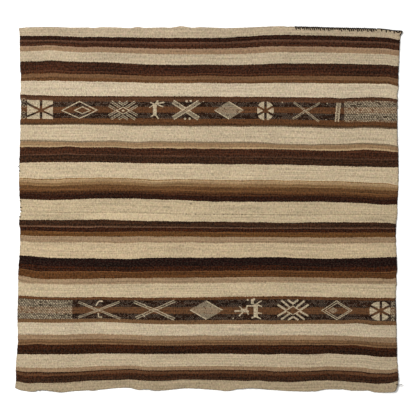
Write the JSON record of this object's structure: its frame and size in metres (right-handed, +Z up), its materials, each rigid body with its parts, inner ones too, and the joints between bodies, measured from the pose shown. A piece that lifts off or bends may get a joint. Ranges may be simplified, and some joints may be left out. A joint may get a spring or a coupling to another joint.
{
  "type": "frazada blanket",
  "caption": "Striped wool frazada blanket woven in two loom widths joined along the middle, lying flat, with a dark overcast stretch on one hem.",
  "frame": {"origin": "under the middle of the blanket, on the surface it lies on", "axes": "+X along the warp and its stripes, +Y from the lower hem to the upper hem across both panels, +Z up through the cloth"},
  "size_m": [1.6244, 1.5456, 0.0104],
  "materials": {
    "striped_wool": "undyed handspun wool, cream with stripes from tan to near black, matt and slightly hairy",
    "dark_yarn": "two-ply near-black brown wool yarn, matt"
  },
  "bodies": {
    "root": {"upper_panel": "striped_wool", "lower_panel": "striped_wool", "edge_overcast": "dark_yarn"}
  },
  "joints": []
}
